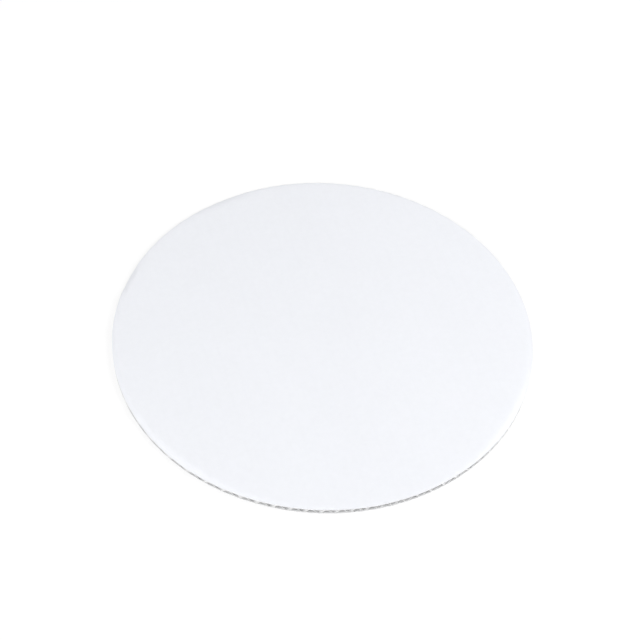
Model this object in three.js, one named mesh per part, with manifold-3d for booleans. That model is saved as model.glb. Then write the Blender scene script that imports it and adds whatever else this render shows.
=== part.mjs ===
// Round cake board, die-cut in one stroke from single-wall corrugated board with a white face.
// Units are millimetres and +Z is up. The origin is the centre of the underside, and the flutes run along Y.
//
// The board is three plies of paper glued for good: a flat top liner, a fluted medium and a flat bottom liner.
// It is one closed solid. The channels that the medium leaves between the liners run right through it and
// open at the cut rim, each at its own place round the circle.

import * as THREE from "three";
import { mergeVertices } from "three/addons/utils/BufferGeometryUtils.js";
import Module from "manifold-3d";

// Driving dimensions
const DIAMETER = 203.2; // an 8 inch circle
const TOP_LINER = 0.3; // the white-faced ply that the cake stands on
const BOTTOM_LINER = 0.25;
const FLUTE_HEIGHT = 2.45; // clear distance between the two liners
const FLUTE_PITCH = 6.5; // crest to crest of the medium
const MEDIUM = 0.22; // thickness of the fluted ply
const CREST_FLAT = 0.8; // width over which each crest is glued to its liner

// Fineness of the curves
const RIM_STEPS = 180; // straight cuts round the rim
const WEB_STEPS = 5; // straight steps down one side of a flute

// Worked out from the dimensions above
const RADIUS = DIAMETER / 2;
const THICKNESS = BOTTOM_LINER + FLUTE_HEIGHT + TOP_LINER;
const CHANNEL_OVERRUN = 1; // how far a channel's cutter runs past the rim at each end
const CHANNEL_LENGTH = DIAMETER + 2 * CHANNEL_OVERRUN;

const wasm = await Module();
wasm.setup();

// A closed three.js geometry as a solid that can be cut.
function solidFrom(geometry) {
  const bare = geometry.clone();
  bare.deleteAttribute("normal");
  bare.deleteAttribute("uv");
  const merged = mergeVertices(bare, 1e-4);
  return new wasm.Manifold(
    new wasm.Mesh({
      numProp: 3,
      vertProperties: merged.getAttribute("position").array,
      triVerts: new Uint32Array(merged.index.array),
    }),
  );
}

// A solid as a three.js geometry, with flat shading that keeps the cut edges crisp.
function geometryFrom(solid) {
  const { vertProperties, triVerts } = solid.getMesh();
  const indexed = new THREE.BufferGeometry()
    .setAttribute("position", new THREE.BufferAttribute(vertProperties, 3))
    .setIndex(new THREE.BufferAttribute(triVerts, 1));
  const flat = indexed.toNonIndexed();
  flat.computeVertexNormals();
  return flat;
}

// The full disc, standing on the XY plane.
function discSolid() {
  const disc = new THREE.CylinderGeometry(RADIUS, RADIUS, THICKNESS, RIM_STEPS);
  disc.rotateX(Math.PI / 2);
  disc.translate(0, 0, THICKNESS / 2);
  return solidFrom(disc);
}

// One side of a flute, seen from its end: the medium's upper surface, from the edge of a trough at the
// bottom liner up to the edge of the next crest at the top liner. Its middle line is half a cosine wave,
// and the surface lies half the medium's thickness off that line. x is counted from the trough's middle
// and y from the bottom liner.
function webPoints() {
  const webWidth = FLUTE_PITCH / 2 - CREST_FLAT;
  const amplitude = (FLUTE_HEIGHT - MEDIUM) / 2;
  const points = [];
  for (let i = 0; i <= WEB_STEPS; i += 1) {
    const turn = (Math.PI * i) / WEB_STEPS;
    const middle = new THREE.Vector2(
      CREST_FLAT / 2 + (webWidth * i) / WEB_STEPS,
      FLUTE_HEIGHT / 2 - amplitude * Math.cos(turn),
    );
    const slope = ((amplitude * Math.PI) / webWidth) * Math.sin(turn);
    const outward = new THREE.Vector2(-slope, 1).normalize();
    points.push(middle.addScaledVector(outward, MEDIUM / 2));
  }
  return points;
}

// The end view of one channel: open towards the top liner, with a web of the medium on each side.
function channelShape() {
  const right = webPoints();
  const left = right.map((p) => new THREE.Vector2(-p.x, p.y)).reverse();
  return new THREE.Shape([...left, ...right]);
}

// The cutter for one channel along Y. Channels under the top liner stand upright, with their trough at x;
// channels above the bottom liner are the same shape turned over.
function channelSolid(shape, x, turnedOver) {
  const channel = new THREE.ExtrudeGeometry(shape, {
    depth: CHANNEL_LENGTH,
    bevelEnabled: false,
  });
  channel.translate(0, -FLUTE_HEIGHT / 2, -CHANNEL_LENGTH / 2);
  channel.rotateX(Math.PI / 2);
  if (turnedOver) channel.rotateY(Math.PI);
  channel.translate(x, 0, BOTTOM_LINER + FLUTE_HEIGHT / 2);
  return solidFrom(channel);
}

// The board: a disc with a channel cut every half pitch, by turns under one liner and above the other.
function boardSolid() {
  const shape = channelShape();
  const halfCount = Math.ceil(DIAMETER / FLUTE_PITCH);
  let board = discSolid();
  for (let i = -halfCount; i <= halfCount; i += 1) {
    const turnedOver = i % 2 === 0;
    board = board.subtract(
      channelSolid(shape, (i * FLUTE_PITCH) / 2, turnedOver),
    );
  }
  return board;
}

const whiteBoard = new THREE.MeshStandardMaterial({
  color: 0xf1f2f5,
  roughness: 0.55,
  metalness: 0,
});

const cakeBoard = new THREE.Mesh(geometryFrom(boardSolid()), whiteBoard);
cakeBoard.name = "cake_board";

const object = new THREE.Group();
object.add(cakeBoard);

export default object;
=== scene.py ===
"""Looks of a plain white cake board: a disc die-cut from single-wall corrugated paperboard.

The board is three plies of paper glued into one sheet: a coated white liner on top, a fluted medium and a
plain white liner underneath. Each ply is a mesh of its own here, and together they stand for the one solid
of the frame. Lengths are in metres. The flutes run along Y, and a crest of the medium lies on x = 0.
"""

import logging
import math
from collections.abc import Callable
from dataclasses import dataclass, field
from enum import Enum

import bmesh
import bpy
from mathutils import Euler, Matrix, Vector, noise

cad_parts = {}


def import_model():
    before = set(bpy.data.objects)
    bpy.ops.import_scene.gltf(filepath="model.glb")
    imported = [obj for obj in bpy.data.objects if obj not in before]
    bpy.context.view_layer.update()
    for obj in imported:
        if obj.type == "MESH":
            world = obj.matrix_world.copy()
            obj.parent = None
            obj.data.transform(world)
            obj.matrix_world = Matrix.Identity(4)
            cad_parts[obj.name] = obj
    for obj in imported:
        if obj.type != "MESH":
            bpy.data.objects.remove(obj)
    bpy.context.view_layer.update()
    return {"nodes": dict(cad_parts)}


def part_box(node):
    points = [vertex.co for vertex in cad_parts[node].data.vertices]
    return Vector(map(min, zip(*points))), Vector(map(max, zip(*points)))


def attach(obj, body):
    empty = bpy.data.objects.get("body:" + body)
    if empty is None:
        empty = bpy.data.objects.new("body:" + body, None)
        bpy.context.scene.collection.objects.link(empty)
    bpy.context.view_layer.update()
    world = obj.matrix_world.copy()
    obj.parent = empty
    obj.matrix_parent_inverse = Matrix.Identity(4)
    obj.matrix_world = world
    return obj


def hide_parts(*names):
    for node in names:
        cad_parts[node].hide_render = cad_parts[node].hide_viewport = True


Colour = tuple[float, float, float]

LOG = logging.getLogger("cake_board")
BODY = "root"
NODE = "cake_board"
MICRON = 1e-6
EVEN = Vector((1.0, 1.0, 1.0))
SEED_STEP = Vector((1.0, 0.7, 0.3))


class Facing(Enum):
    """Which way a liner's outer face looks; the value is the sign of its normal's height."""

    UP = 1
    DOWN = -1


class Slot(Enum):
    """The record's material slots."""

    FACE = "white_face"
    FLUTING = "fluting"
    BACK = "white_back"


class Pattern(Enum):
    """The noise patterns of a paper; the value sets one apart from another in the noise."""

    PATCHES = 0
    CLOUDS = 11
    GRAIN = 23
    FLECKS = 31
    STRANDS = 51
    LAYERS = 71


@dataclass(frozen=True)
class BoardSection:
    """The board's section and how regular its flutes are.

    The radius and the thickness come from the frame. The rest are the sizes of the three plies.
    """

    radius: float
    thickness: float
    top_liner: float = 300 * MICRON
    bottom_liner: float = 250 * MICRON
    medium: float = 220 * MICRON
    pitch: float = 6.5e-3
    crest_flat: float = 0.8e-3
    glue_sink: float = 8 * MICRON
    drift: float = 90 * MICRON
    drift_across: float = 15e-3
    drift_along: float = 90e-3
    drift_seed: float = 0.5

    @property
    def clear_height(self) -> float:
        """Distance between the two liners."""
        return self.thickness - self.top_liner - self.bottom_liner

    @property
    def amplitude(self) -> float:
        """Half the height that the middle of the medium rises and falls through."""
        return (self.clear_height - self.medium) / 2 + self.glue_sink

    @property
    def middle(self) -> float:
        """Height of the middle of the fluted space above the surface that the board lies on."""
        return self.bottom_liner + self.clear_height / 2

    def from_crest(self, x: float, y: float) -> float:
        """Distance across the flutes from a point to the nearest crest of the medium.

        The flutes wander a little along their length, as they do when the web slips on its roll.

        Args:
            x: The point's place across the flutes.
            y: The point's place along the flutes.

        Returns:
            A distance from 0 at a crest to half a pitch in a trough.
        """
        wander = noise.noise(Vector((x / self.drift_across, y / self.drift_along, self.drift_seed)))
        turns = (x + self.drift * wander) / self.pitch
        return abs((turns + 0.5) % 1.0 - 0.5) * self.pitch

    def web(self, x: float, y: float) -> tuple[float, float]:
        """The medium's middle surface: half a cosine wave between each crest and the next trough.

        Args:
            x: The point's place across the flutes.
            y: The point's place along the flutes.

        Returns:
            Its signed height above the middle of the fluted space, and its slope across the flutes.
        """
        web_width = self.pitch / 2 - self.crest_flat
        share = (self.from_crest(x, y) - self.crest_flat / 2) / web_width
        turn = math.pi * min(max(share, 0.0), 1.0)
        return self.amplitude * math.cos(turn), self.amplitude * math.pi / web_width * math.sin(turn)

    def span_share(self, x: float, y: float, facing: Facing) -> float:
        """How far a point of a liner lies from the glue lines that hold it.

        Args:
            x: The point's place across the flutes.
            y: The point's place along the flutes.
            facing: UP for the liner on the crests, DOWN for the one under the troughs.

        Returns:
            0 on a glue line, rising smoothly to 1 midway between two of them.
        """
        distance = self.from_crest(x, y)
        if facing is Facing.DOWN:
            distance = self.pitch / 2 - distance
        half_span = (self.pitch - self.crest_flat) / 2
        share = (distance - self.crest_flat / 2) / half_span
        return math.sin(math.pi / 2 * min(max(share, 0.0), 1.0)) ** 2


@dataclass(frozen=True)
class Dent:
    """A place where the rim was knocked down from above. bearing is its angle round the board from +X."""

    bearing: float
    arc: float
    depth: float
    reach: float

    def drop(self, x: float, y: float, depth: float) -> float:
        """How far the dent lowers the top liner.

        Args:
            x: The point's place across the flutes.
            y: The point's place along the flutes.
            depth: The point's distance inwards from the rim.

        Returns:
            A distance, the largest at the rim in the middle of the dent.
        """
        turn = math.remainder(math.atan2(y, x) - self.bearing, math.tau)
        return self.depth * math.exp(-((turn / self.arc) ** 2) - (depth / self.reach) ** 2)


@dataclass(frozen=True)
class DieCut:
    """What the cutting rule, the glue and handling did to the flat plies.

    reach is how far in from the rim the plies are pinched. A liner gives way least on its glue lines and
    most midway between them, and more where the cut runs along the flutes, because a whole flap of it is
    unsupported there. The platen pressed harder on one side of the board than on the other. The rim wanders
    a little, and the plies end at slightly different radii.
    """

    reach: float = 0.9e-3
    flap_reach: float = 1.9e-3
    pinch: float = 35 * MICRON
    sag: float = 110 * MICRON
    flap_sag: float = 270 * MICRON
    flap_start: float = 0.5
    flap_width: float = 0.45
    platen_tilt: float = 0.75
    unevenness: float = 40 * MICRON
    uneven_seed: float = 7.5
    washboard: float = 12 * MICRON
    wander: float = 90 * MICRON
    wander_span: float = 14e-3
    lean: float = 160 * MICRON
    lean_span: float = 9e-3
    lean_seed: float = 3.5
    dents: tuple[Dent, ...] = (
        Dent(bearing=math.radians(147), arc=math.radians(5), depth=820 * MICRON, reach=1.35e-3),
        Dent(bearing=math.radians(106), arc=math.radians(9), depth=330 * MICRON, reach=1.8e-3),
        Dent(bearing=math.radians(-153), arc=math.radians(27), depth=780 * MICRON, reach=1.5e-3),
        Dent(bearing=math.radians(-47), arc=math.radians(15), depth=780 * MICRON, reach=1.5e-3),
    )

    def closeness(self, depth: float, reach: float) -> float:
        """How strongly the rule acts at a depth inwards, from 1 at the rim to 0 past its reach."""
        return math.exp(-((depth / reach) ** 2))

    def flap(self, x: float, y: float) -> float:
        """How freely the top liner gives way where the cut runs along the flutes.

        Args:
            x: The point's place across the flutes.
            y: The point's place along the flutes.

        Returns:
            0 where the cut crosses the flutes, and up to nearly 2 on the side that was pressed harder.
        """
        obliqueness = abs(x) / max(math.hypot(x, y), self.reach)
        share = min(max((obliqueness - self.flap_start) / self.flap_width, 0.0), 1.0)
        pressed = 1 - self.platen_tilt * math.copysign(obliqueness, x)
        return pressed * share * share * (3 - 2 * share)

    def dented(self, x: float, y: float, depth: float) -> float:
        """How far the dents lower the top liner at a point."""
        return sum(dent.drop(x, y, depth) for dent in self.dents)

    def rim_inset(self, x: float, y: float, seed: float) -> float:
        """How far inside the nominal circle the cut runs in the direction of a point.

        Args:
            x: The point's place across the flutes, on the nominal circle.
            y: The point's place along the flutes, on the nominal circle.
            seed: A number that sets one ply's edge apart from another's.

        Returns:
            A distance from 0 to the wander.
        """
        where = Vector((x / self.wander_span, y / self.wander_span, seed))
        return self.wander * (0.5 + 0.5 * noise.noise(where))

    def pinched(self, x: float, y: float, depth: float) -> float:
        """How far a glue line is pushed towards the middle of the board.

        Args:
            x: The point's place across the flutes.
            y: The point's place along the flutes.
            depth: The point's distance inwards from the rim.

        Returns:
            A distance, the largest at the rim.
        """
        where = Vector((x / self.lean_span, y / self.lean_span, self.uneven_seed))
        uneven = self.unevenness * (0.5 + 0.5 * noise.noise(where))
        return self.closeness(depth, self.reach) * (self.pinch + uneven)

    def sagged(self, share: float, flap: float, depth: float) -> float:
        """How far a liner gives way between its glue lines.

        Args:
            share: 0 on a glue line, 1 midway between two.
            flap: 0 where the cut crosses the flutes, about 1 where a free flap lies along them.
            depth: The point's distance inwards from the rim.

        Returns:
            A distance towards the middle of the board.
        """
        reach = self.reach + min(flap, 1.0) * (self.flap_reach - self.reach)
        depth_of_sag = self.sag + flap * (self.flap_sag - self.sag)
        return share * (self.washboard + self.closeness(depth, reach) * depth_of_sag)

    def leaned(self, x: float, y: float, depth: float, height_share: float) -> float:
        """How far the rule pushed a web sideways where it cut it.

        Args:
            x: The point's place across the flutes.
            y: The point's place along the flutes.
            depth: The point's distance inwards from the rim.
            height_share: The point's height on the web, from -1 in a trough to 1 on a crest.

        Returns:
            A signed distance across the flutes, none at the glue lines.
        """
        where = Vector((x / self.lean_span, y / self.lean_span, self.lean_seed))
        side = noise.noise(where)
        return self.lean * side * self.closeness(depth, self.reach) * (1 - height_share**2)


@dataclass
class PaperNodes:
    """Adds nodes to one material and links them."""

    material: bpy.types.Material
    octave_strength: float = 0.6
    column_width: int = 180
    column: int = field(default=0, init=False)

    def __post_init__(self) -> None:
        """Empties the material's node tree."""
        self.material.use_nodes = True
        self.material.node_tree.nodes.clear()

    def add(self, kind: str, **settings: object) -> bpy.types.Node:
        """Adds a node.

        Args:
            kind: The node's type name.
            **settings: Values for the node's own properties.

        Returns:
            The new node.
        """
        node = self.material.node_tree.nodes.new(kind)
        self.column += 1
        node.location = (self.column * self.column_width, 0)
        for name, value in settings.items():
            setattr(node, name, value)
        return node

    def feed(self, socket: bpy.types.NodeSocket, value: object) -> None:
        """Gives an input its value.

        Args:
            socket: The input.
            value: An output to link to it, or a plain number or colour to set.
        """
        if isinstance(value, bpy.types.NodeSocket):
            self.material.node_tree.links.new(value, socket)
        else:
            socket.default_value = value

    def maths(self, operation: str, *values: object, clamp: bool = False) -> bpy.types.NodeSocket:
        """One step of arithmetic.

        Args:
            operation: The Math node's operation.
            *values: Numbers or outputs, in the order of the node's inputs.
            clamp: True keeps the result between 0 and 1.

        Returns:
            The result.
        """
        node = self.add("ShaderNodeMath", operation=operation, use_clamp=clamp)
        for socket, value in zip(node.inputs, values):
            self.feed(socket, value)
        return node.outputs[0]

    def ramp(
        self, value: object, start: float, end: float, low: float, high: float
    ) -> bpy.types.NodeSocket:
        """A smooth step from one number to another.

        Args:
            value: What is measured.
            start: Where the step begins.
            end: Where it ends.
            low: The result up to start.
            high: The result past end.

        Returns:
            The stepped value.
        """
        node = self.add("ShaderNodeMapRange", interpolation_type="SMOOTHSTEP")
        for socket, number in zip(node.inputs, (value, start, end, low, high)):
            self.feed(socket, number)
        return node.outputs["Result"]

    def clouds(
        self, vector: object, size: float, detail: float, stretch: Vector, seed: float, turn: float = 0.0
    ) -> bpy.types.NodeSocket:
        """Noise with features of a real size.

        Args:
            vector: The coordinates.
            size: The features' size in metres.
            detail: How many finer octaves are added.
            stretch: How many times longer the features are along each axis.
            seed: A number that moves the pattern.
            turn: How far the axes of the stretch are turned about Z, in radians.

        Returns:
            A value around 0.5.
        """
        mapping = self.add("ShaderNodeMapping", vector_type="TEXTURE")
        self.feed(mapping.inputs["Vector"], vector)
        mapping.inputs["Location"].default_value = SEED_STEP * seed * size
        mapping.inputs["Rotation"].default_value = (0.0, 0.0, turn)
        mapping.inputs["Scale"].default_value = stretch * size
        node = self.add("ShaderNodeTexNoise", noise_dimensions="3D")
        self.feed(node.inputs["Vector"], mapping.outputs["Vector"])
        node.inputs["Scale"].default_value = 1.0
        node.inputs["Detail"].default_value = detail
        node.inputs["Roughness"].default_value = self.octave_strength
        return node.outputs["Fac"]

    def blend(self, share: object, first: object, second: object) -> bpy.types.NodeSocket:
        """A mix of two colours.

        Args:
            share: 0 for the first, 1 for the second.
            first: A colour or an output.
            second: A colour or an output.

        Returns:
            The mixed colour.
        """
        node = self.add("ShaderNodeMix", data_type="RGBA", blend_type="MIX")
        self.feed(node.inputs["Factor"], share)
        self.feed(node.inputs[6], first)
        self.feed(node.inputs[7], second)
        return node.outputs[2]


@dataclass(frozen=True)
class PaperFinish:
    """One of the board's papers.

    colour is the paper's face and core is what shows where it is cut. clouds is how unevenly the fibres lie
    (its share of the colour), strands is how much single fibres stand out from it, flecks is how dark stray
    specks are, and grain is the height of the fibres. The fibres lie mostly across the flutes, the way the
    paper ran through its machine. layers is how much its cut edge varies, and layer_run how far the sheet's
    own layers run along that edge. washboard_shade is how much darker the paper is painted along the glue
    lines behind it: painted shade standing in for the shading of the washboard ripple.
    own layers run along that edge. washboard_shade is how much the glued flutes behind the paper show
    through it.
    The ranges are where in a noise pattern a change begins and ends.
    """

    name: str
    colour: Colour
    core: Colour
    roughness: float
    specular: float
    clouds: float
    strands: float
    flecks: float
    grain: float
    layers: float
    layer_run: float
    seed: float
    rim_wear: float = 0.0
    # Painted shade: how much darker the paper is painted along the glue lines, for the washboard ripple's
    # shading.
    washboard_shade: float = 0.0
    gloss_play: float = 0.05
    cut_width: float = 140 * MICRON
    wear_width: float = 1.3e-3
    patch_size: float = 38e-3
    cloud_size: float = 2.2e-3
    strand_size: float = 0.55e-3
    strand_line: float = 0.035
    grain_size: float = 0.16e-3
    fleck_size: float = 0.35e-3
    layer_size: float = 30 * MICRON
    fibre_stretch: float = 3.2
    fleck_stretch: float = 1.6
    strand_turns: tuple[float, ...] = (math.radians(-24), math.radians(17), math.radians(71))
    strand_seed_step: float = 7.0
    tone_range: tuple[float, float] = (0.25, 0.75)
    gloss_range: tuple[float, float] = (0.3, 0.7)
    fleck_range: tuple[float, float] = (0.70, 0.80)
    wear_range: tuple[float, float] = (0.42, 0.62)
    layer_range: tuple[float, float] = (0.35, 0.68)
    least_wear: float = 0.25
    wear_dulling: float = 4.0
    cut_roughness: float = 0.92
    cloud_height: float = 1.5
    strand_height: float = 0.6
    tear_depth: float = 9.0

    def build(self, section: BoardSection, glued: Facing) -> bpy.types.Material:
        """Makes the material.

        Args:
            section: The board's section, which places the bare cut edge and the flutes.
            glued: UP where the crests are glued to the paper, DOWN where the troughs are.

        Returns:
            The paper's material.
        """
        rim = section.radius
        material = bpy.data.materials.new(self.name)
        nodes = PaperNodes(material)
        place = nodes.add("ShaderNodeTexCoord").outputs["Object"]
        along = Vector((self.fibre_stretch, 1.0, 1.0))
        patches = nodes.clouds(place, self.patch_size, 2.0, EVEN, self.seed_of(Pattern.PATCHES))
        clouds = nodes.clouds(place, self.cloud_size, 4.0, EVEN, self.seed_of(Pattern.CLOUDS))
        grain = nodes.clouds(place, self.grain_size, 3.0, along, self.seed_of(Pattern.GRAIN))
        strands = self.felt(nodes, place, along)
        radius = self.from_centre(nodes, place)
        cut = nodes.ramp(radius, rim - self.cut_width, rim - self.cut_width / 3, 0.0, 1.0)
        layers = self.cut_layers(nodes, place)
        worn = self.worn(nodes, radius, rim, clouds)
        shade = self.shade(nodes, patches, clouds, strands, self.specks(nodes, place, along))
        shade = nodes.maths("SUBTRACT", shade, nodes.maths("MULTIPLY", cut, layers))
        shade = nodes.maths("SUBTRACT", shade, worn)
        # Painted shade: darker stripes along the glue lines, standing in for the washboard ripple's
        # shading.
        shade = nodes.maths("SUBTRACT", shade, self.painted_washboard_stripes(nodes, place, section, glued))
        tinted = nodes.add("ShaderNodeMix", data_type="RGBA", blend_type="MULTIPLY")
        tinted.inputs["Factor"].default_value = 1.0
        nodes.feed(tinted.inputs[6], nodes.blend(cut, (*self.colour, 1.0), (*self.core, 1.0)))
        nodes.feed(tinted.inputs[7], shade)
        shader = nodes.add("ShaderNodeBsdfPrincipled")
        nodes.feed(shader.inputs["Base Color"], tinted.outputs[2])
        nodes.feed(shader.inputs["Roughness"], self.dullness(nodes, clouds, strands, cut, worn))
        shader.inputs["IOR"].default_value = 1.5
        shader.inputs["Specular IOR Level"].default_value = self.specular
        nodes.feed(shader.inputs["Normal"], self.relief(nodes, grain, clouds, strands, cut, layers))
        output = nodes.add("ShaderNodeOutputMaterial")
        nodes.feed(output.inputs["Surface"], shader.outputs["BSDF"])
        return material

    def seed_of(self, pattern: Pattern) -> float:
        """The number that places one noise pattern of this paper."""
        return self.seed + pattern.value

    def felt(self, nodes: PaperNodes, place: object, along: Vector) -> bpy.types.NodeSocket:
        """Single fibres of the sheet: thin curved lines where smooth noise passes its middle value.

        Args:
            nodes: The material's nodes.
            place: Object coordinates.
            along: How far the fibres are drawn out in their own direction.

        Returns:
            1 on a fibre and 0 between them.
        """
        total = None
        for number, turn in enumerate(self.strand_turns):
            seed = self.seed_of(Pattern.STRANDS) + self.strand_seed_step * number
            value = nodes.clouds(place, self.strand_size, 1.0, along, seed, turn)
            offset = nodes.maths("ABSOLUTE", nodes.maths("SUBTRACT", value, 0.5))
            line = nodes.ramp(offset, 0.0, self.strand_line, 1.0, 0.0)
            total = line if total is None else nodes.maths("MAXIMUM", total, line)
        return total

    def specks(self, nodes: PaperNodes, place: object, along: Vector) -> bpy.types.NodeSocket:
        """Stray dark fibres, few and far between.

        Args:
            nodes: The material's nodes.
            place: Object coordinates.
            along: How far the fibres are drawn out in their own direction.

        Returns:
            How dark they are, up to the finish's flecks.
        """
        drawn_out = along * self.fleck_stretch
        flecks = nodes.clouds(place, self.fleck_size, 1.0, drawn_out, self.seed_of(Pattern.FLECKS))
        return nodes.ramp(flecks, *self.fleck_range, 0.0, self.flecks)

    def from_centre(self, nodes: PaperNodes, place: object) -> bpy.types.NodeSocket:
        """Distance from the board's axis.

        Args:
            nodes: The material's nodes.
            place: Object coordinates.

        Returns:
            The distance in metres.
        """
        flat = nodes.add("ShaderNodeVectorMath", operation="MULTIPLY")
        nodes.feed(flat.inputs[0], place)
        flat.inputs[1].default_value = (1.0, 1.0, 0.0)
        length = nodes.add("ShaderNodeVectorMath", operation="LENGTH")
        nodes.feed(length.inputs[0], flat.outputs["Vector"])
        return length.outputs["Value"]

    def painted_washboard_stripes(
        self, nodes: PaperNodes, place: object, section: BoardSection, glued: Facing
    ) -> bpy.types.NodeSocket:
        """Faint darker stripes painted along the glue lines: painted shade standing in for the shading of
        the washboard ripple.

        Args:
            nodes: The material's nodes.
            place: Object coordinates.
            section: The board's section.
            glued: UP where the crests are glued to the paper, DOWN where the troughs are.

        Returns:
            0 between the glue lines, washboard_shade on them.
        """
        axes = nodes.add("ShaderNodeSeparateXYZ")
        nodes.feed(axes.inputs[0], place)
        distance = nodes.maths("PINGPONG", axes.outputs["X"], section.pitch / 2)
        if glued is Facing.DOWN:
            distance = nodes.maths("SUBTRACT", section.pitch / 2, distance)
        return nodes.ramp(distance, section.crest_flat / 3, section.crest_flat, self.washboard_shade, 0.0)

    def cut_layers(self, nodes: PaperNodes, place: object) -> bpy.types.NodeSocket:
        """Darker layers and torn ends of fibres, which show on the cut edge.

        Args:
            nodes: The material's nodes.
            place: Object coordinates.

        Returns:
            How dark they are, up to the finish's layers.
        """
        run = Vector((self.layer_run, self.layer_run, 1.0))
        bands = nodes.clouds(place, self.layer_size, 2.0, run, self.seed_of(Pattern.LAYERS))
        return nodes.ramp(bands, *self.layer_range, 0.0, self.layers)

    def worn(
        self, nodes: PaperNodes, radius: object, rim: float, clouds: object
    ) -> bpy.types.NodeSocket:
        """How much the coating next to the cut has suffered, in broken stretches along the rim.

        Args:
            nodes: The material's nodes.
            radius: Distance from the board's axis.
            rim: The board's radius.
            clouds: Noise that breaks the wear up.

        Returns:
            0 inside the worn strip, up to rim_wear at the cut.
        """
        strip = nodes.ramp(radius, rim - self.wear_width, rim - self.cut_width, 0.0, 1.0)
        broken = nodes.ramp(clouds, *self.wear_range, self.least_wear, 1.0)
        return nodes.maths("MULTIPLY", nodes.maths("MULTIPLY", strip, broken), self.rim_wear)

    def shade(
        self, nodes: PaperNodes, patches: object, clouds: object, strands: object, specks: object
    ) -> bpy.types.NodeSocket:
        """How light the paper is from place to place, as a grey that multiplies its colour.

        Args:
            nodes: The material's nodes.
            patches: Noise of the size of a hand's width.
            clouds: Noise of the size of a few fibres' lengths.
            strands: 1 on single fibres.
            specks: How dark the stray fibres are.

        Returns:
            A grey a little under 1.
        """
        broad = nodes.ramp(patches, *self.tone_range, -self.clouds / 2, self.clouds / 2)
        local = nodes.ramp(clouds, *self.tone_range, -self.clouds, self.clouds)
        lines = nodes.maths("MULTIPLY", strands, self.strands)
        total = nodes.maths("SUBTRACT", nodes.maths("ADD", broad, local), nodes.maths("ADD", lines, specks))
        return nodes.maths("ADD", total, 1.0 - self.clouds)

    def dullness(
        self, nodes: PaperNodes, clouds: object, strands: object, cut: object, worn: object
    ) -> bpy.types.NodeSocket:
        """The roughness: uneven with the clouds, duller on fibres, on the worn strip and on the bare cut.

        Args:
            nodes: The material's nodes.
            clouds: Noise of the size of a few fibres' lengths.
            strands: 1 on single fibres.
            cut: 1 on the bare cut.
            worn: The wear next to the cut.

        Returns:
            The roughness.
        """
        low, high = self.roughness - self.gloss_play, self.roughness + self.gloss_play
        play = nodes.ramp(clouds, *self.gloss_range, low, high)
        fibrous = nodes.maths("MULTIPLY_ADD", strands, self.gloss_play, play)
        rubbed = nodes.maths("MULTIPLY_ADD", worn, self.wear_dulling, fibrous)
        bare = nodes.maths("MULTIPLY", cut, self.cut_roughness)
        return nodes.maths("MAXIMUM", rubbed, bare, clamp=True)

    def relief(
        self, nodes: PaperNodes, grain: object, clouds: object, strands: object, cut: object, layers: object
    ) -> bpy.types.NodeSocket:
        """The fibres' relief, and the layers' on the cut.

        Args:
            nodes: The material's nodes.
            grain: Noise of the size of single fibres.
            clouds: Noise of the size of a few fibres' lengths.
            strands: 1 on single fibres.
            cut: 1 on the bare cut.
            layers: The darkness of the cut's layers.

        Returns:
            The bumped normal.
        """
        hills = nodes.maths("MULTIPLY_ADD", clouds, self.cloud_height, grain)
        fibrous = nodes.maths("MULTIPLY_ADD", strands, self.strand_height, hills)
        torn = nodes.maths("MULTIPLY", nodes.maths("MULTIPLY", cut, layers), -self.tear_depth)
        bump = nodes.add("ShaderNodeBump")
        bump.inputs["Strength"].default_value = 1.0
        bump.inputs["Distance"].default_value = self.grain
        nodes.feed(bump.inputs["Height"], nodes.maths("ADD", fibrous, torn))
        return bump.outputs["Normal"]


@dataclass(frozen=True)
class DiscSheet:
    """A flat sheet of paper cut to the disc: rows across the flutes, columns along them.

    Rows are evenly spaced round the rim, and the outermost one bends into the arc that closes the disc on
    each side. Columns crowd towards the rim, where the plies are pinched.
    """

    section: BoardSection
    cut: DieCut
    rows: int
    columns: int
    recess: float
    seed: float
    crowding: float = 5.0
    side_arc: float = math.radians(12)
    side_bend: int = 8

    def ply(self, place: Callable[[float, float, float], tuple[Vector, float]]) -> bmesh.types.BMesh:
        """Makes a closed ply.

        Args:
            place: Gives the ply's upper side and its upright gauge there, from x, y and the depth inwards
                from the rim.

        Returns:
            The ply, with its faces looking outwards.
        """
        shell = bmesh.new()
        bmesh.ops.create_grid(shell, x_segments=self.rows, y_segments=self.columns, size=1.0)
        gauge = shell.verts.layers.float.new("gauge")
        for vertex in shell.verts:
            vertex.co, vertex[gauge] = place(*self.on_disc(vertex.co.x, vertex.co.y))
        extruded = bmesh.ops.extrude_face_region(shell, geom=shell.faces[:], use_keep_orig=True)
        for part in extruded["geom"]:
            if isinstance(part, bmesh.types.BMVert):
                part.co.z -= part[gauge]
        shell.verts.layers.float.remove(gauge)
        bmesh.ops.recalc_face_normals(shell, faces=shell.faces)
        return shell

    def on_disc(self, across: float, along: float) -> tuple[float, float, float]:
        """Carries a point of the square grid to the disc.

        Args:
            across: The grid's first coordinate, from -1 to 1.
            along: The grid's second coordinate, from -1 to 1.

        Returns:
            x, y and the depth inwards from the nominal circle.
        """
        turn = across * (math.pi / 2 - self.side_arc)
        crowding = self.crowding * math.cos(turn)
        inwards = math.expm1(crowding * (1 - abs(along))) / math.expm1(crowding)
        share = math.copysign(1 - inwards, along)
        bulge = math.sqrt(1 - (math.sin(self.side_arc) * share) ** 2) - math.cos(self.side_arc)
        unit_x = math.sin(turn) + math.copysign(abs(across) ** self.side_bend * bulge, across)
        unit_y = math.cos(turn) * share
        reach = max(math.hypot(unit_x, unit_y), 1e-6)
        nominal = self.section.radius
        inset = self.cut.rim_inset(unit_x / reach * nominal, unit_y / reach * nominal, self.seed)
        radius = nominal - self.recess - inset * reach
        return unit_x * radius, unit_y * radius, nominal * (1 - reach)


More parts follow.
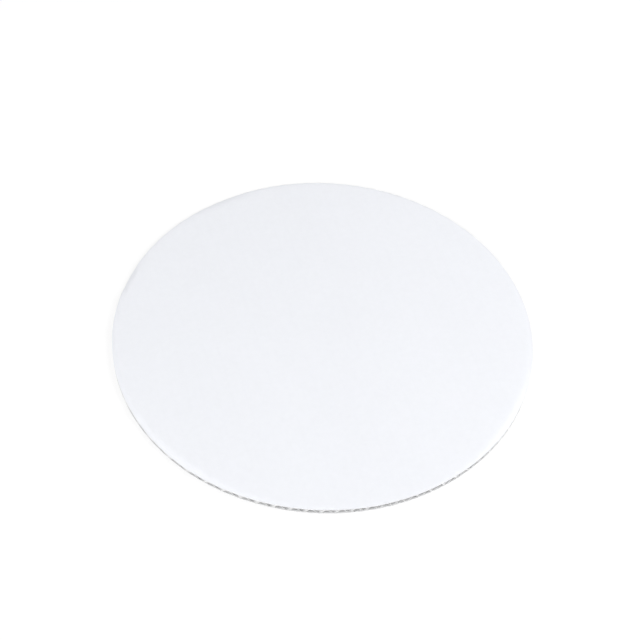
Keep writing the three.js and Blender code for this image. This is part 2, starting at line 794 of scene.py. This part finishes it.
@dataclass
class Ply:
    """One ply of paper. A subclass shapes it; this class makes it a piece of the board."""

    section: BoardSection
    cut: DieCut
    name: str
    finish: PaperFinish
    slot: Slot
    facing: Facing = Facing.UP
    crease: float = math.radians(40)

    def shape(self) -> bmesh.types.BMesh:
        """The ply's closed mesh."""
        raise NotImplementedError

    def put_in_order(self, shell: bmesh.types.BMesh) -> None:
        """Lists the faces by their places, because extruding lists the walls in another order each run.

        Args:
            shell: The ply's closed mesh.
        """
        by_place = sorted(shell.faces, key=lambda face: face.calc_center_median()[:])
        for number, face in enumerate(by_place):
            face.index = number
        shell.faces.sort()

    def build(self) -> bpy.types.Object:
        """Makes the piece, dresses it and puts it on the frame.

        Returns:
            The finished piece.
        """
        shell = self.shape()
        self.put_in_order(shell)
        mesh = bpy.data.meshes.new(self.name)
        shell.to_mesh(mesh)
        shell.free()
        mesh.polygons.foreach_set("use_smooth", [True] * len(mesh.polygons))
        mesh.set_sharp_from_angle(angle=self.crease)
        mesh.materials.append(self.finish.build(self.section, self.facing))
        piece = bpy.data.objects.new(self.name, mesh)
        bpy.context.scene.collection.objects.link(piece)
        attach(piece, BODY)
        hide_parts(NODE)
        LOG.info("%s: %d faces", self.name, len(mesh.polygons))
        return piece


@dataclass
class Liner(Ply):
    """A flat outer ply, with its cut edge rounded a little by the rule."""

    rows: int = 720
    columns: int = 24
    edge_round: float = 45 * MICRON
    edge_steps: int = 2
    wall_slope: float = 0.5
    recess: float = 0.0
    seed: float = 0.0

    @property
    def gauge(self) -> float:
        """The paper's thickness."""
        return self.section.top_liner if self.facing is Facing.UP else self.section.bottom_liner

    def shape(self) -> bmesh.types.BMesh:
        """The liner's closed mesh, with both rim edges bevelled."""
        sheet = DiscSheet(self.section, self.cut, self.rows, self.columns, self.recess, self.seed)
        shell = sheet.ply(self.place)
        rim = [edge for edge in shell.edges if self.is_rim(edge)]
        bmesh.ops.bevel(
            shell,
            geom=rim,
            offset=self.edge_round,
            offset_type="OFFSET",
            segments=self.edge_steps,
            profile=0.5,
            affect="EDGES",
            material=-1,
        )
        return shell

    def is_rim(self, edge: bmesh.types.BMEdge) -> bool:
        """Whether an edge lies between a flat side and the cut wall.

        Args:
            edge: An edge of the liner's mesh.

        Returns:
            True for the two edges round the rim.
        """
        if len(edge.link_faces) != 2:
            return False
        walls = [abs(face.normal.z) < self.wall_slope for face in edge.link_faces]
        return walls[0] != walls[1]

    def place(self, x: float, y: float, depth: float) -> tuple[Vector, float]:
        """A point of the liner's upper side.

        Args:
            x: The point's place across the flutes.
            y: The point's place along the flutes.
            depth: The point's distance inwards from the rim.

        Returns:
            The point, and the paper's thickness.
        """
        share = self.section.span_share(x, y, self.facing)
        upward = self.facing is Facing.UP
        give = self.cut.pinched(x, y, depth)
        give += self.cut.sagged(share, self.cut.flap(x, y) if upward else 0.0, depth)
        give += self.cut.dented(x, y, depth) if upward else 0.0
        rest = self.section.thickness if upward else self.section.bottom_liner
        return Vector((x, y, rest - self.facing.value * give)), self.gauge


@dataclass
class Medium(Ply):
    """The fluted ply between the liners."""

    rows: int = 1000
    columns: int = 24
    recess: float = 60 * MICRON
    seed: float = 5.0

    def shape(self) -> bmesh.types.BMesh:
        """The medium's closed mesh."""
        sheet = DiscSheet(self.section, self.cut, self.rows, self.columns, self.recess, self.seed)
        return sheet.ply(self.place)

    def place(self, x: float, y: float, depth: float) -> tuple[Vector, float]:
        """A point of the medium's upper side.

        Args:
            x: The point's place across the flutes.
            y: The point's place along the flutes.
            depth: The point's distance inwards from the rim.

        Returns:
            The point, and the paper's upright gauge, which grows with the web's slope.
        """
        height, slope = self.section.web(x, y)
        gauge = self.section.medium * math.hypot(1.0, slope)
        share = height / self.section.amplitude
        pinch = self.cut.pinched(x, y, depth)
        lean = self.cut.leaned(x, y, depth, share)
        drop = self.cut.dented(x, y, depth) * (1 + share) / 2
        upper = self.section.middle + height - share * pinch - drop + gauge / 2
        return Vector((x + lean, y, upper)), gauge


@dataclass(frozen=True)
class Softbox:
    """A large soft lamp that looks at the middle of the board."""

    name: str
    azimuth: float
    elevation: float
    distance: float
    size: float
    watts: float
    colour: Colour = (1.0, 1.0, 1.0)

    def build(self) -> bpy.types.Object:
        """Makes the lamp.

        Returns:
            The lamp's object.
        """
        lamp = bpy.data.lights.new(self.name, "AREA")
        lamp.shape = "DISK"
        lamp.size = self.size
        lamp.energy = self.watts
        lamp.color = self.colour
        towards = direction(self.azimuth, self.elevation)
        lamp_object = bpy.data.objects.new(self.name, lamp)
        lamp_object.location = towards * self.distance
        lamp_object.rotation_euler = towards.to_track_quat("Z", "Y").to_euler()
        lamp_object.visible_camera = False
        bpy.context.scene.collection.objects.link(lamp_object)
        return lamp_object


@dataclass(frozen=True)
class Studio:
    """The pale floor, the even light all round and the lamps.

    The camera sees the floor as floor_glow plus floor_catch times the light that falls on it, which keeps
    the board's shadow. Between the two distances of catch_reach that fades to plain white.
    """

    floor_size: float = 12.0
    floor_cells: int = 8
    floor_gap: float = 0.15e-3
    floor_colour: Colour = (0.82, 0.82, 0.82)
    floor_glow: float = 0.79
    floor_catch: float = 0.25
    catch_reach: tuple[float, float] = (0.3, 0.75)
    surround: float = 0.293
    lamps: tuple[Softbox, ...] = (
        Softbox("left_softbox", azimuth=-67.0, elevation=27.0, distance=1.3, size=1.15, watts=12.9),
        Softbox("right_softbox", azimuth=58.0, elevation=27.0, distance=1.3, size=1.15, watts=9.9),
        Softbox("high_softbox", azimuth=93.0, elevation=40.0, distance=1.2, size=0.9, watts=4.95),
    )

    def build(self) -> None:
        """Makes the whole studio."""
        self.world()
        self.floor()
        for lamp in self.lamps:
            lamp.build()

    def seen_directly(self, nodes: PaperNodes) -> bpy.types.NodeSocket:
        """Tells the rays that see the white background from those that only bring light.

        Args:
            nodes: The nodes of the material or the world.

        Returns:
            1 for rays from the camera, a glossy surface or a clear one, and 0 for the rest.
        """
        path = nodes.add("ShaderNodeLightPath")
        glossy, clear = path.outputs["Is Glossy Ray"], path.outputs["Is Transmission Ray"]
        mirrored = nodes.maths("MAXIMUM", glossy, clear)
        return nodes.maths("MAXIMUM", path.outputs["Is Camera Ray"], mirrored)

    def world(self) -> None:
        """Even white light from all round, in front of a white background."""
        world = bpy.data.worlds.new("studio")
        bpy.context.scene.world = world
        nodes = PaperNodes(world)
        strength = nodes.ramp(self.seen_directly(nodes), 0.0, 1.0, self.surround, 1.0)
        background = nodes.add("ShaderNodeBackground")
        background.inputs["Color"].default_value = (1.0, 1.0, 1.0, 1.0)
        nodes.feed(background.inputs["Strength"], strength)
        output = nodes.add("ShaderNodeOutputWorld")
        nodes.feed(output.inputs["Surface"], background.outputs["Background"])

    def floor(self) -> bpy.types.Object:
        """A white floor that keeps the board's shadow.

        Returns:
            The floor's object.
        """
        plane = bmesh.new()
        cells, half = self.floor_cells, self.floor_size / 2
        bmesh.ops.create_grid(plane, x_segments=cells, y_segments=cells, size=half)
        bmesh.ops.translate(plane, verts=plane.verts, vec=(0.0, 0.0, -self.floor_gap))
        mesh = bpy.data.meshes.new("floor")
        plane.to_mesh(mesh)
        plane.free()
        mesh.materials.append(self.floor_material())
        floor = bpy.data.objects.new("floor", mesh)
        bpy.context.scene.collection.objects.link(floor)
        return floor

    def floor_material(self) -> bpy.types.Material:
        """Plain matte white for light. The camera sees white that catches the shadow close to the board."""
        material = bpy.data.materials.new("floor_white")
        nodes = PaperNodes(material)
        plain = nodes.add("ShaderNodeBsdfDiffuse")
        plain.inputs["Color"].default_value = (*self.floor_colour, 1.0)
        catching = nodes.add("ShaderNodeBsdfDiffuse")
        catching.inputs["Color"].default_value = (*(self.floor_catch,) * 3, 1.0)
        glow = nodes.add("ShaderNodeEmission")
        glow.inputs["Strength"].default_value = self.floor_glow
        seen = nodes.add("ShaderNodeAddShader")
        nodes.feed(seen.inputs[0], catching.outputs["BSDF"])
        nodes.feed(seen.inputs[1], glow.outputs["Emission"])
        white = nodes.add("ShaderNodeEmission")
        white.inputs["Strength"].default_value = 1.0
        distance = nodes.add("ShaderNodeVectorMath", operation="LENGTH")
        nodes.feed(distance.inputs[0], nodes.add("ShaderNodeTexCoord").outputs["Object"])
        faded = nodes.add("ShaderNodeMixShader")
        nodes.feed(faded.inputs[0], nodes.ramp(distance.outputs["Value"], *self.catch_reach, 0.0, 1.0))
        nodes.feed(faded.inputs[1], seen.outputs["Shader"])
        nodes.feed(faded.inputs[2], white.outputs["Emission"])
        either = nodes.add("ShaderNodeMixShader")
        nodes.feed(either.inputs[0], self.seen_directly(nodes))
        nodes.feed(either.inputs[1], plain.outputs["BSDF"])
        nodes.feed(either.inputs[2], faded.outputs["Shader"])
        output = nodes.add("ShaderNodeOutputMaterial")
        nodes.feed(output.inputs["Surface"], either.outputs["Shader"])
        return material


@dataclass(frozen=True)
class PhotoCamera:
    """The camera that sees the board's face as the photograph does. Angles are in degrees.

    aim is where the optical axis meets the board's face. Azimuth 0 looks along +Y.
    """

    aim: tuple[float, float] = (-0.00006, 0.00571)
    azimuth: float = -18.0
    elevation: float = 50.055
    roll: float = 3.072
    distance: float = 0.6068
    lens: float = 70.0
    sensor: float = 36.0

    def build(self, face_height: float) -> bpy.types.Object:
        """Makes the camera and gives it to the scene.

        Args:
            face_height: The height of the board's face.

        Returns:
            The camera's object.
        """
        camera = bpy.data.cameras.new("camera")
        camera.lens = self.lens
        camera.sensor_width = self.sensor
        camera_object = bpy.data.objects.new("camera", camera)
        back = direction(self.azimuth, self.elevation)
        tilt = Euler((math.radians(90 - self.elevation), 0.0, math.radians(self.azimuth))).to_matrix()
        turned = tilt @ Matrix.Rotation(math.radians(self.roll), 3, "Z")
        place = Vector((*self.aim, face_height)) + back * self.distance
        camera_object.matrix_world = Matrix.Translation(place) @ turned.to_4x4()
        bpy.context.scene.collection.objects.link(camera_object)
        bpy.context.scene.camera = camera_object
        return camera_object


def direction(azimuth: float, elevation: float) -> Vector:
    """The direction from the board towards a viewer or a lamp.

    Args:
        azimuth: Degrees round the board; 0 is in front of it, towards -Y, and 90 is towards +X.
        elevation: Degrees above the horizon.

    Returns:
        A unit vector.
    """
    turn, rise = math.radians(azimuth), math.radians(elevation)
    return Vector((math.sin(turn) * math.cos(rise), -math.cos(turn) * math.cos(rise), math.sin(rise)))


COATED_FACE = PaperFinish(
    name="coated_white",
    colour=(0.889, 0.903, 0.942),
    core=(0.85, 0.85, 0.85),
    roughness=0.58,
    specular=0.25,
    clouds=0.009,
    strands=0.006,
    flecks=0.0,
    grain=3 * MICRON,
    layers=0.16,
    layer_run=50.0,
    seed=2.0,
    rim_wear=0.03,
    # Painted washboard shade along the glue lines, very faint on the face.
    washboard_shade=0.003,
)
FLUTING_PAPER = PaperFinish(
    name="fluting_paper",
    colour=(0.85, 0.85, 0.85),
    core=(0.86, 0.86, 0.86),
    roughness=0.88,
    specular=0.15,
    clouds=0.035,
    strands=0.05,
    flecks=0.16,
    grain=11 * MICRON,
    layers=0.20,
    layer_run=4.0,
    seed=17.0,
)
BACK_PAPER = PaperFinish(
    name="back_paper",
    colour=(0.845, 0.848, 0.855),
    core=(0.84, 0.84, 0.84),
    roughness=0.80,
    specular=0.2,
    clouds=0.025,
    strands=0.03,
    flecks=0.10,
    grain=8 * MICRON,
    layers=0.18,
    layer_run=50.0,
    seed=41.0,
    rim_wear=0.02,
    # Painted washboard shade along the glue lines, stronger on the underside.
    washboard_shade=0.022,
)


def build_board() -> None:
    """Builds the three plies in the frame's size, from the bottom up."""
    low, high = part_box(NODE)
    section = BoardSection(radius=(high.x - low.x) / 2, thickness=high.z - low.z)
    cut = DieCut()
    bottom = Liner(section, cut, "bottom_liner", BACK_PAPER, Slot.BACK, facing=Facing.DOWN, seed=9.0)
    medium = Medium(section, cut, "fluted_medium", FLUTING_PAPER, Slot.FLUTING)
    top = Liner(section, cut, "top_liner", COATED_FACE, Slot.FACE, facing=Facing.UP, seed=1.0)
    for ply in (bottom, medium, top):
        ply.build()
    PhotoCamera().build(section.thickness)


def main() -> None:
    """Loads the frame and builds the board, the studio and the camera."""
    logging.basicConfig(level=logging.INFO, format="%(name)s: %(message)s")
    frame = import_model()
    LOG.info("frame nodes: %s", ", ".join(sorted(frame["nodes"])))
    bpy.context.scene.view_settings.view_transform = "Standard"
    build_board()
    Studio().build()


if __name__ == "__main__":
    main()
